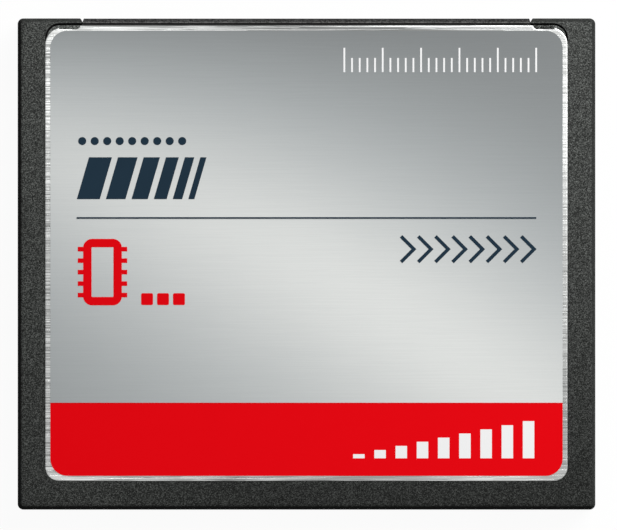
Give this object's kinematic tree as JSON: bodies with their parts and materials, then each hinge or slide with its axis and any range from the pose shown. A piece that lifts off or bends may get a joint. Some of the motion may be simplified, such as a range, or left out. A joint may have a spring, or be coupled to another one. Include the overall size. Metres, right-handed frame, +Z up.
{
  "type": "compact flash card",
  "caption": "Flat memory card with a moulded frame, steel covers, a printed label and two rows of pin sockets along its front edge.",
  "frame": {"origin": "centre of the underside, where the card lies on a table with its label up", "axes": "+X across the card, +Y along it towards the pin sockets, +Z up, out of the label"},
  "size_m": [0.0428, 0.0364, 0.0033],
  "materials": {
    "frame_plastic": "dark grey moulded plastic with a fine spark texture",
    "cover_steel": "stainless sheet, brushed across the card",
    "label_foil": "satin silver foil with a soft diagonal sheen",
    "red_ink": "smooth red print",
    "white_ink": "smooth white print",
    "navy_ink": "smooth dark blue print",
    "housing_plastic": "dark grey moulded plastic",
    "contact_metal": "gold plated copper alloy",
    "board_laminate": "green solder mask",
    "chip_resin": "black moulding resin",
    "tinned_metal": "dull tin plate",
    "capacitor_ceramic": "fired tan ceramic",
    "resistor_ceramic": "black glaze over ceramic",
    "insulating_film": "amber film"
  },
  "bodies": {
    "root": {"top_frame": "frame_plastic", "bottom_frame": "frame_plastic", "top_cover": "cover_steel", "bottom_cover": "cover_steel", "label": "label_foil", "label_red_band": "red_ink", "label_band_marks": "white_ink", "label_rule_line": "navy_ink", "top_insulating_film": "insulating_film", "bottom_insulating_film": "insulating_film", "socket_housing": "housing_plastic", "top_row_contacts": "contact_metal", "bottom_row_contacts": "contact_metal", "circuit_board": "board_laminate", "top_memory_chip": "chip_resin", "top_memory_leads": "tinned_metal", "bottom_memory_chip": "chip_resin", "bottom_memory_leads": "tinned_metal", "controller_chip": "chip_resin", "voltage_regulator": "chip_resin", "regulator_leads": "tinned_metal", "ceramic_capacitors": "capacitor_ceramic", "capacitor_ends": "tinned_metal", "resistor_networks": "resistor_ceramic", "resistor_network_ends": "tinned_metal"}
  },
  "joints": []
}
